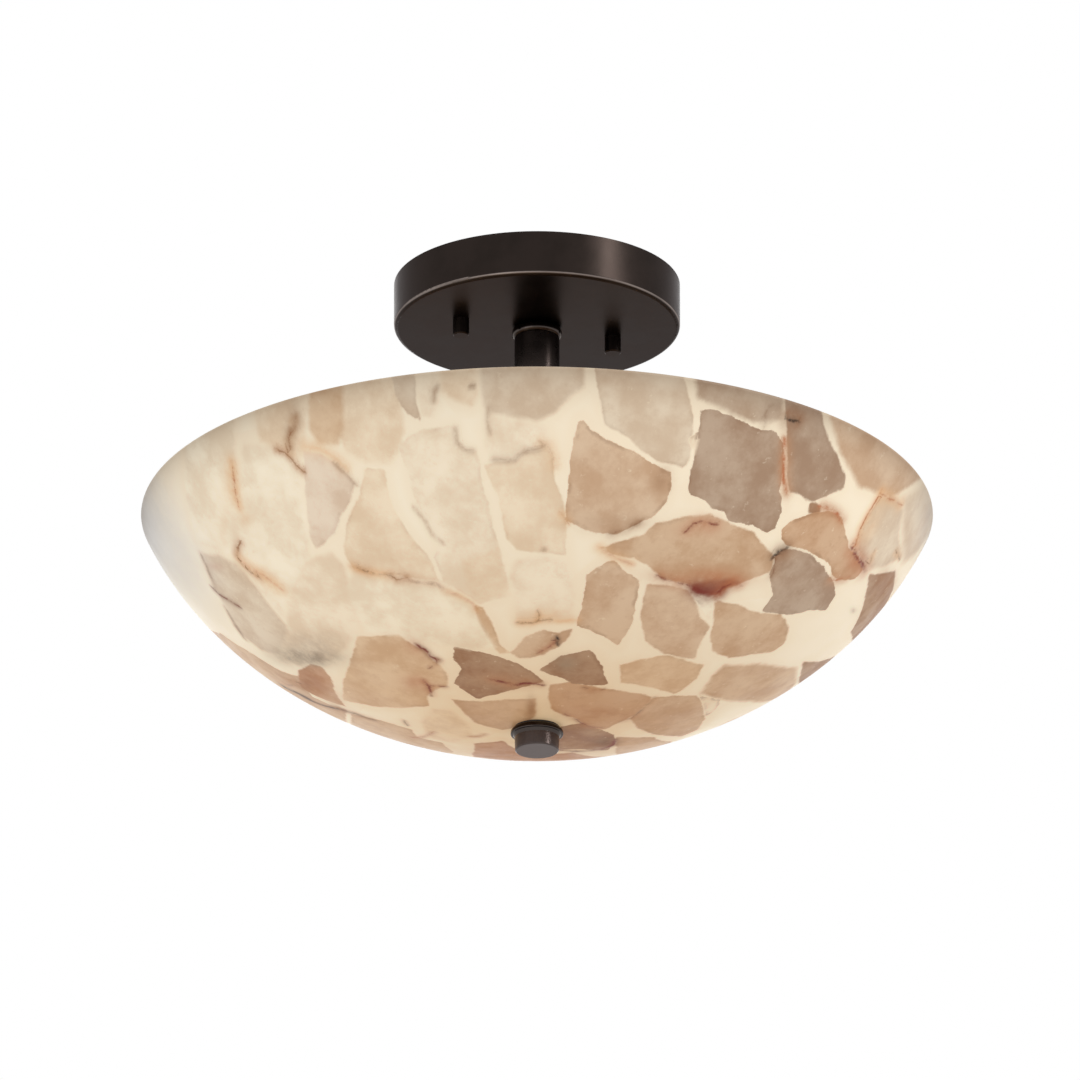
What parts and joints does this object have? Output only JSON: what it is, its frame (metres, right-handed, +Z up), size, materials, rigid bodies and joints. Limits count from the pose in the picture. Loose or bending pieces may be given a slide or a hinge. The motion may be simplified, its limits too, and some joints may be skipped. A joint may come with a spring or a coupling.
{
  "type": "semi flush ceiling light",
  "caption": "Semi flush ceiling light: a wide bowl shade of stone chips in resin hung under a round bronze canopy by a stem, rod and finial.",
  "frame": {"origin": "centre of the ceiling plane, midway between the two ceiling box slots, on the stem's axis", "axes": "+Z up into the ceiling, -Z down the stem; +X along the lamps and the stud bar; +Y along the ceiling bar"},
  "size_m": [0.3672, 0.3672, 0.2321],
  "materials": {
    "bronze": "satin dark bronze",
    "bronze_brushed": "dark bronze with a fine brushed grain",
    "zinc_steel": "zinc plated, satin",
    "plain_steel": "satin",
    "ground_green": "satin green",
    "porcelain": "glossy white glaze",
    "shell_metal": "satin",
    "contact_brass": "satin",
    "frosted_glass": "frosted white",
    "lamp_base_metal": "polished",
    "lamp_black_glass": "glossy black",
    "solder": "dull",
    "lead_black": "matte",
    "lead_white": "matte",
    "connector_orange": "matte",
    "rubber_black": "matte",
    "stone_resin": "stone chips in ivory resin, smooth, lit from inside"
  },
  "bodies": {
    "ceiling_bracket": {"ceiling_bar": "zinc_steel", "bar_rivet": "plain_steel"},
    "lamp_left": {"lamp_glass_left": "frosted_glass", "lamp_base_left": "lamp_base_metal", "lamp_insulator_left": "lamp_black_glass", "lamp_tip_left": "solder"},
    "lamp_right": {"lamp_glass_right": "frosted_glass", "lamp_base_right": "lamp_base_metal", "lamp_insulator_right": "lamp_black_glass", "lamp_tip_right": "solder"},
    "thumb_nut_left": {"thumb_nut_left": "bronze"},
    "thumb_nut_right": {"thumb_nut_right": "bronze"},
    "bowl": {"bowl_shade": "stone_resin", "bowl_gasket": "rubber_black", "bowl_washer": "zinc_steel", "finial_gasket": "rubber_black"},
    "finial_ring": {"finial_ring": "bronze"},
    "finial_knob": {"finial_knob": "bronze_brushed"},
    "fixture": {"stud_bar": "zinc_steel", "ground_screw": "ground_green", "canopy_studs": "zinc_steel", "stud_lock_nuts": "zinc_steel", "canopy": "bronze", "upper_pipe": "zinc_steel", "upper_pipe_washer": "plain_steel", "upper_pipe_nut": "zinc_steel", "stem_collar": "bronze", "stem": "bronze", "lower_pipe": "zinc_steel", "lower_pipe_nut": "zinc_steel", "hub_housing": "bronze", "hub_cap": "bronze", "hub_cap_screws": "plain_steel", "arm_pipes": "zinc_steel", "centre_rod": "zinc_steel", "rod_nut": "zinc_steel", "wire_connector_black": "connector_orange", "wire_connector_white": "connector_orange", "lampholder_left": "porcelain", "screw_shell_left": "shell_metal", "centre_contact_left": "contact_brass", "lead_black_left": "lead_black", "lead_white_left": "lead_white", "lampholder_right": "porcelain", "screw_shell_right": "shell_metal", "centre_contact_right": "contact_brass", "lead_black_right": "lead_black", "lead_white_right": "lead_white"}
  },
  "joints": [
    {"name": "bar_swivel", "type": "hinge", "parent": "ceiling_bracket", "child": "fixture", "pos_m": [0, 0, 0], "axis": [0, 0, 1], "range_deg": [-60, 60]},
    {"name": "thumb_nut_left_turn", "type": "hinge", "parent": "fixture", "child": "thumb_nut_left", "pos_m": [-0.037, 0, -0.0215], "axis": [0, 0, -1], "range_deg": [0, 2520]},
    {"name": "thumb_nut_right_turn", "type": "hinge", "parent": "fixture", "child": "thumb_nut_right", "pos_m": [0.037, 0, -0.0215], "axis": [0, 0, -1], "range_deg": [0, 2520]},
    {"name": "lamp_left_turn", "type": "hinge", "parent": "fixture", "child": "lamp_left", "pos_m": [-0.04, 0, -0.146], "axis": [-1, 0, 0], "range_deg": [0, 1800]},
    {"name": "lamp_right_turn", "type": "hinge", "parent": "fixture", "child": "lamp_right", "pos_m": [0.04, 0, -0.146], "axis": [1, 0, 0], "range_deg": [0, 1800]},
    {"name": "bowl_lowering", "type": "slide", "parent": "fixture", "child": "bowl", "axis": [0, 0, -1], "range_m": [0, 0.16]},
    {"name": "finial_travel", "type": "slide", "parent": "bowl", "child": "finial_ring", "axis": [0, 0, -1], "range_m": [0, 0.0047]},
    {"name": "finial_turn", "type": "hinge", "parent": "finial_ring", "child": "finial_knob", "pos_m": [0, 0, -0.23], "axis": [0, 0, -1], "range_deg": [0, 1800]}
  ],
  "couplings": [
    {"joint": "finial_turn", "follows": "finial_travel", "rad_per_m": 6679}
  ]
}
